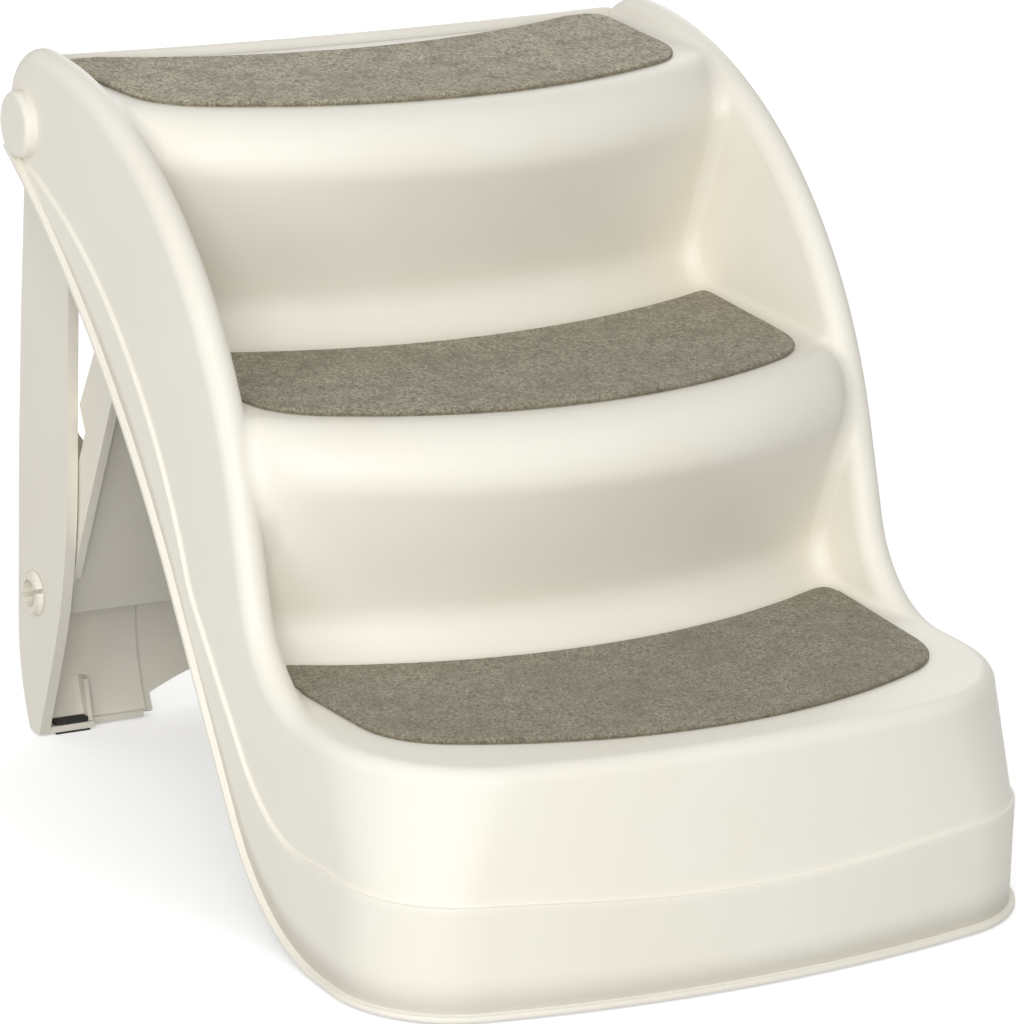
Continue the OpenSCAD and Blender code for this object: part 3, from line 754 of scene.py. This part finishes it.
def make_felt(name, share):
    """Needled felt: a mottled ground with dark pores and curly fibres; share lightens it as painted light,
    and upright edges get painted shade.
    """
    n = Nodes(name)
    ground = n.noise(1, 6, 0.78, n.stretched((760, 470, 760)), distortion=0.4)
    curl = n.noise(1, 3, 0.6, n.stretched((330, 210, 330), turn=0.7), distortion=1.8)
    cross = n.noise(1, 3, 0.6, n.stretched((290, 190, 290), turn=2.1), distortion=1.8)
    medium = n.noise(scale=75, detail=4, rough=0.65)
    wide = n.noise(scale=16, detail=2, rough=0.5)
    # Painted light: share makes this mat's whole felt lighter or darker
    tone = n.ramp(ground, [(at, shaded(colour, share)) for at, colour in felt_ground])
    for lines, strength in ((curl, 0.45), (cross, 0.38)):
        near = n.math("ABSOLUTE", n.math("SUBTRACT", lines, 0.5))
        tone = n.mix(n.ramp(near, [(0.004, strength), (0.026, 0.0)]), tone, fibre_tone)
    pores = n.noise(1, 4, 0.7, n.stretched((420, 270, 420)), distortion=0.8)
    for lines, stops, colour in ((pores, [(0.35, 0.68), (0.47, 0.0)], pore_tone),
                                 (pores, [(0.55, 0.0), (0.68, 0.45)], tuft_tone),
                                 (medium, [(0.36, 0.38), (0.54, 0.0)], medium_tone),
                                 (wide, [(0.36, 0.22), (0.60, 0.0)], wide_tone)):
        tone = n.mix(n.ramp(lines, stops), tone, colour)
    # Painted shade: the mat's faces that turn away from level, its upright edges, are darkened
    upright = n.add("ShaderNodeSeparateXYZ", {"Vector": n.add("ShaderNodeNewGeometry").outputs["Normal"]})
    edge_shade_mask = n.math("SUBTRACT", 1.0, n.math("ABSOLUTE", upright.outputs["Z"]))
    tone = n.mix(n.math("MULTIPLY", edge_shade_mask, 0.62), tone, edge_shade_tone)
    n.set(Base_Color=tone, Roughness=0.95, Specular_IOR_Level=0.12, Sheen_Weight=0.14, Sheen_Roughness=0.6)
    n.bump([(medium, 0.5, 0.7), (ground, 0.8, 0.4), (curl, 0.4, 0.3)])
    return n.mat


rubber_tone = (0.012, 0.012, 0.012)
dust_tone = (0.05, 0.048, 0.045)


def make_rubber():
    n = Nodes("black_rubber")
    dust = n.noise(scale=180, detail=3, rough=0.6)
    n.set(Base_Color=n.mix(n.ramp(dust, [(0.45, 0.0), (0.75, 0.5)]), rubber_tone, dust_tone),
          Roughness=n.math("ADD", n.math("MULTIPLY", dust, 0.2), 0.55))
    n.bump([(n.noise(scale=900, detail=2, rough=0.6), 0.4, 0.08)])
    return n.mat


shell_plastic = make_plastic("shell_plastic", *shell_tones)
leg_plastic = make_plastic("leg_plastic", *leg_tones)
felts = {name: make_felt(f"felt_{name}", share) for name, share in felt_painted_light_shares.items()}
rubber = make_rubber()


def dress(obj, mat):
    obj.data.materials.clear()
    obj.data.materials.append(mat)


def finish_moulded(obj, angle):
    """Puts a piece of the moulded shell on the fixed body, in its plastic and with soft shading."""
    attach(obj, "steps")
    dress(obj, shell_plastic)
    smooth(obj, angle)


finish_moulded(skin_obj, 60)
finish_moulded(lip_obj, 40)
finish_moulded(rim_obj, 40)
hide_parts("step_shell")

# Structure under the treads
web_round_n = 8
shaft_n = 48
bar_soft = 0.5
rib_shares = (0.36, 0.72)
boss_r = 13
boss_gap = 0.3
boss_web_half = 1.2
boss_web_h = 26

# The catch bar's place: from the brace's lower pins along and beside the leaning brace
brace_low = np.array([leg_high[1] - 21.5, 80])
brace_lean = math.radians(23.5)
brace_length = 248
brace_bar_y = -21.2

# Ledges for the pads inside the front corners
pad_plan_n = 37
pad_ledge_x = 145
pad_ledge_end_x = 143
pad_ledge_back = 18
pad_ledge_t = 2.5


def catch_point():
    return brace_low + [brace_bar_y * math.cos(brace_lean) - brace_length * math.sin(brace_lean),
                        brace_bar_y * math.sin(brace_lean) + brace_length * math.cos(brace_lean)]


def shaft(work, x0, x1, centre, r, mirrored=False, soft=0.0):
    """A round bar along x with edges broken by soft."""
    ends = [(x0, r - soft), (x0 + soft, r), (x1 - soft, r), (x1, r - soft)] if soft else [(x0, r), (x1, r)]
    work.grid([at_x(x, arc(centre, end_r, 0, 360, shaft_n)[:-1]) for x, end_r in ends], mirrored, closed=True)


def make_under():
    """Catch webs and bar, ribs, pivot bosses and pad ledges."""
    work = Patchwork()
    catch = catch_point()
    for x, mirrored in ((0, False), (catch_web_x, True)):
        nosing = riser(2, x, wall / 2)[riser_n:]
        web_back = [[catch[0] + catch_r, deck_z - wall / 2]]
        outline = np.vstack([nosing, web_back, arc(catch, catch_r, 0, -90, web_round_n)])
        work.plate(outline, x - rib_t / 2, x + rib_t / 2, mirrored)
    shaft(work, -catch_web_x - rib_t / 2, catch_web_x + rib_t / 2, catch, bar_r, soft=bar_soft)
    for share in rib_shares:
        x = share * inner_x
        top = skin(x, wall / 2)[1:-1]
        low = skin(x, wall + rib_h)[1:-1]
        left = x - rib_t / 2
        right = x + rib_t / 2
        edges = [at_x(left, top), at_x(left, low), at_x(right, low), at_x(right, top)]
        work.grid(np.stack(edges, 1), mirrored=True, closed=True)
    boss_x = leg_high[0] + boss_gap
    shaft(work, boss_x, wall_x - wall / 2, pivot, boss_r, mirrored=True)
    corners = [[-boss_web_half, 0], [boss_web_half, 0],
               [boss_web_half, boss_web_h], [-boss_web_half, boss_web_h]]
    work.plate(pivot + corners, boss_x, inner_x + 1, mirrored=True)
    ledge = plan(front_y - band_out + wall / 2, band_x - wall / 2, corner_r, pad_plan_n)
    ledge = ledge[(ledge[:, 0] > pad_ledge_x) & (ledge[:, 1] < front_y + corner_r + pad_ledge_back)]
    loop = np.vstack([ledge, [[pad_ledge_end_x, ledge[-1][1]], [pad_ledge_end_x, ledge[0][1]]]])
    levels = (floor_gap, floor_gap + pad_ledge_t)
    work.grid([[(*point, z) for point in loop] for z in levels], mirrored=True, closed=True)
    return work.build("under_ribs")


finish_moulded(make_under(), 35)

# Felt mats: cut edges, rounded rims and a slightly uneven face
mat_shift = -1.5
mat_slope = 0.062
mat_reach = 27
mat_corner_n = 13
outline_x = 175
outline_n = 350
mat_side_n = 119
mat_half_n = 64
mat_face_n = 40
# How much of the columns' spacing narrows towards the mat's sides
mat_ease = 0.55
# Section of the rim as (inwards, up)
mat_rims = ((0.5, 0.02), (0.1, 0.45), (0.0, 0.9), (0.06, 1.4), (0.25, 1.9), (0.6, mat_t - 0.65),
            (1.1, mat_t - 0.34), (1.8, mat_t - 0.13), (2.9, mat_t))
# Unevenness: widths of its waves, then how far they lift the face and shift the cut edge
wide_size = 26
fine_size = 3.1
fine_size_z = 2
edge_size = 2.7
wide_lift = 0.16
fine_lift = 0.10
settle = 0.12
edge_shift = 0.18
edge_from = 0.05
edge_to = 0.98


def corner_curve(before, corner, after, reach):
    """Rounds the corner between two lines of points, from reach before it to reach after it."""
    a = before[np.linalg.norm(before - corner, axis=1) > reach]
    b = after[np.linalg.norm(after - corner, axis=1) > reach]
    u = np.linspace(0, 1, mat_corner_n + 1)[1:-1, None]
    return a, (1 - u) ** 2 * a[-1] + 2 * u * (1 - u) * corner + u ** 2 * b[0], b


def mat_outline(front, back, front_r, back_r, back_reach, half=163.5):
    """Right half of a mat from its middle front round to its middle back; half is its width at the back."""
    back_corner_y = back + sag(half, back_r)

    def side_x(y):
        return half - mat_slope * (back_corner_y - y)

    xs = np.linspace(0, outline_x, outline_n + 1)
    front_line = np.column_stack([xs, front + sag(xs, front_r)])
    back_line = np.column_stack([xs, np.minimum(back + sag(xs, back_r), deck_back_y(xs) - lip_w - 1)])
    front_line = front_line[front_line[:, 0] <= side_x(front_line[:, 1])]
    back_line = back_line[back_line[:, 0] <= side_x(back_line[:, 1])]
    side_ys = np.linspace(front_line[-1][1], back_line[-1][1], mat_side_n + 1)
    side = np.column_stack([side_x(side_ys), side_ys])
    front_part, front_corner, rest = corner_curve(front_line, side[0], side, mat_reach)
    side_part, back_corner, back_part = corner_curve(rest, side[-1], back_line[::-1], back_reach)
    return np.vstack([front_part, front_corner, side_part, back_corner, back_part])


def inset(line, d):
    """A half outline moved inwards by d."""
    way = np.gradient(line, axis=0)
    way /= np.maximum(np.linalg.norm(way, axis=1), 1e-9)[:, None]
    return line + d * np.column_stack([-way[:, 1], way[:, 0]])


def edges_at(line, xs):
    """Front and back y of a half outline at each x; the turn is at its widest point."""
    turn = int(np.argmax(line[:, 0]))
    front = line[:turn + 1]
    back = line[turn:][::-1]
    return np.interp(xs, front[:, 0], front[:, 1]), np.interp(xs, back[:, 0], back[:, 1])


def mat_loops(outline, z):
    """For each step of the rim: x, front y and back y of the whole mat's columns, and the height."""
    share = (np.sin(np.linspace(0, math.pi / 2, mat_half_n + 1)) * mat_ease
             + np.linspace(0, 1, mat_half_n + 1) * (1 - mat_ease))
    loops = []
    for d, up in mat_rims:
        line = inset(outline, d)
        xs = share * line[:, 0].max()
        front, back = (np.r_[ys[::-1], ys[1:]] for ys in edges_at(line, xs))
        loops.append((np.r_[-xs[::-1], xs[1:]] + mat_shift, front, back, z + up))
    return loops


def roughen(obj, z, seed):
    """Makes a mat's face and cut edges slightly uneven."""
    for vertex in obj.data.vertices:
        at = vertex.co / MM
        lift = np.clip((at.z - z) / mat_t, 0, 1)
        wide = noise.noise(Vector((at.x / wide_size + seed, at.y / wide_size, seed)))
        fine = noise.noise(Vector((at.x / fine_size, at.y / fine_size + seed, at.z / fine_size_z)))
        vertex.co.z += (wide_lift * wide + fine_lift * fine - settle) * lift * MM
        if edge_from < lift < edge_to:
            edge = noise.noise(Vector((at.y / edge_size, at.x / edge_size, seed)))
            vertex.co.x += edge_shift * fine * MM
            vertex.co.y += edge_shift * edge * MM


def make_mat(name, z, seed, **sizes):
    outline = mat_outline(**sizes)
    loops = mat_loops(outline, z)
    rings = []
    for x, front, back, h in loops:
        level = np.full(len(x), h)
        back_edge = np.column_stack([x, back, level])[-2:0:-1]
        rings.append(np.vstack([np.column_stack([x, front, level]), back_edge]))
    work = Patchwork()
    work.grid(rings, closed=True, capped=False)
    for (x, front, back, h), n in ((loops[-1], mat_face_n), (loops[0], 1)):
        shares = np.linspace(0, 1, n + 1)
        work.grid([[(at, y0 + (y1 - y0) * share, h) for share in shares]
                   for at, y0, y1 in zip(x, front, back)])
    obj = work.build(f"{name}_felt", merge=0.01)
    roughen(obj, z, seed)
    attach(obj, "steps")
    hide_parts(f"{name}_tread_mat")
    smooth(obj, 60)
    dress(obj, felts[name])


make_mat("top", tread_zs[2], seed=1.7, front=62.5, back=178, front_r=305, back_r=340, back_reach=16)
make_mat("middle", tread_zs[1], seed=4.2, front=-75.5, back=50, front_r=285, back_r=370, back_reach=10)
make_mat("bottom", tread_zs[0], seed=8.9, front=-212, back=-85, front_r=300, back_r=350, back_reach=19,
         half=165)

# Caps of the pivot pins, rounded discs with a shallow dish
cap_r = 17.6
cap_h = 6.7
cap_round = 3.0
cap_round_n = 8
cap_n = 72
cap_start = [0.1, cap_r]
cap_dish = [[cap_h, 10], [cap_h - 0.15, 7], [cap_h - 0.2, 2]]


def make_caps():
    work = Patchwork()
    corner = arc((cap_h - cap_round, cap_r - cap_round), cap_round, 90, 0, cap_round_n)
    profile = np.vstack([[cap_start], corner, cap_dish])
    rings = [at_x(wall_x + out, arc(pivot, r, 0, 360, cap_n)[:-1]) for out, r in profile]
    work.grid(rings, mirrored=True, closed=True)
    return work.build("pin_caps")


finish_moulded(make_caps(), 50)

# CAD pieces that keep their shape, with broken edges
weld_gap = 0.02
edge_angle = 35
edge_n = 2
edge_width = 0.5
small_edge_width = 0.25
normal_weight = 50


def soften(obj, width):
    weld = obj.modifiers.new("weld", "WELD")
    weld.merge_threshold = weld_gap * MM
    bevel = obj.modifiers.new("edges", "BEVEL")
    bevel.width = width * MM
    bevel.segments = edge_n
    bevel.limit_method = "ANGLE"
    bevel.angle_limit = math.radians(edge_angle)
    weighted = obj.modifiers.new("flat faces", "WEIGHTED_NORMAL")
    weighted.mode = "FACE_AREA"
    weighted.weight = normal_weight
    obj.data.polygons.foreach_set("use_smooth", [True] * len(obj.data.polygons))


for name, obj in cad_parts.items():
    if name.endswith("_mat") or name == "step_shell":
        dress(obj, shell_plastic)
        continue
    dress(obj, rubber if "pad" in name else leg_plastic if name in ("rear_leg", "brace") else shell_plastic)
    soften(obj, small_edge_width if "pad" in name or "pin" in name else edge_width)

# Floor, background and lamps, in metres
floor_half = 30
floor_tone = (0.42, 0.42, 0.42)
seen_floor_tone = (0.90, 0.90, 0.90)
seen_glow = 0.38
world_strength = 0.64
lamp_aim = Vector((0, 0, 0.2))
# Each lamp's name, place, width and power
lamps = [("front", (-1.45, -2.75, 0.85), 1.8, 41), ("side", (-2.7, -1.3, 0.7), 1.6, 16),
         ("top", (-1.9, -1.7, 2.3), 1.5, 9), ("rear", (1.9, 2.7, 1.5), 1.8, 16)]


def make_floor():
    """A wide floor that is white where the camera sees it and grey for the light that it throws back."""
    corners = [(-floor_half, -floor_half, 0), (floor_half, -floor_half, 0),
               (floor_half, floor_half, 0), (-floor_half, floor_half, 0)]
    floor = mesh_object("floor", corners, [(0, 1, 2, 3)], scale=1)
    n = Nodes("studio_floor")
    path = n.add("ShaderNodeLightPath")
    seen = n.math("MAXIMUM", path.outputs["Is Camera Ray"],
                  n.math("MAXIMUM", path.outputs["Is Glossy Ray"], path.outputs["Is Transmission Ray"]))
    n.set(Base_Color=n.mix(seen, floor_tone, seen_floor_tone), Roughness=1.0, Specular_IOR_Level=0.0)
    n.set(Emission_Color=(1, 1, 1), Emission_Strength=n.math("MULTIPLY", seen, seen_glow))
    dress(floor, n.mat)


def make_world():
    """A white background that shines with less strength than the camera sees."""
    world = bpy.data.worlds.new("studio")
    bpy.context.scene.world = world
    world.use_nodes = True
    tree = world.node_tree
    path = tree.nodes.new("ShaderNodeLightPath")
    strength = tree.nodes.new("ShaderNodeMix")
    strength.inputs[2].default_value = world_strength
    strength.inputs[3].default_value = 1.0
    tree.links.new(path.outputs["Is Camera Ray"], strength.inputs[0])
    back = tree.nodes["Background"]
    back.inputs["Color"].default_value = (1, 1, 1, 1)
    tree.links.new(strength.outputs[0], back.inputs["Strength"])


def make_lamp(name, place, size, energy):
    lamp = bpy.data.lights.new(name, "AREA")
    lamp.shape = "DISK"
    lamp.size = size
    lamp.energy = energy
    obj = bpy.data.objects.new(name, lamp)
    bpy.context.scene.collection.objects.link(obj)
    obj.location = place
    obj.rotation_euler = (lamp_aim - obj.location).to_track_quat("-Z", "Y").to_euler()


bpy.context.scene.view_settings.view_transform = "Standard"
make_floor()
make_world()
for lamp_row in lamps:
    make_lamp(*lamp_row)
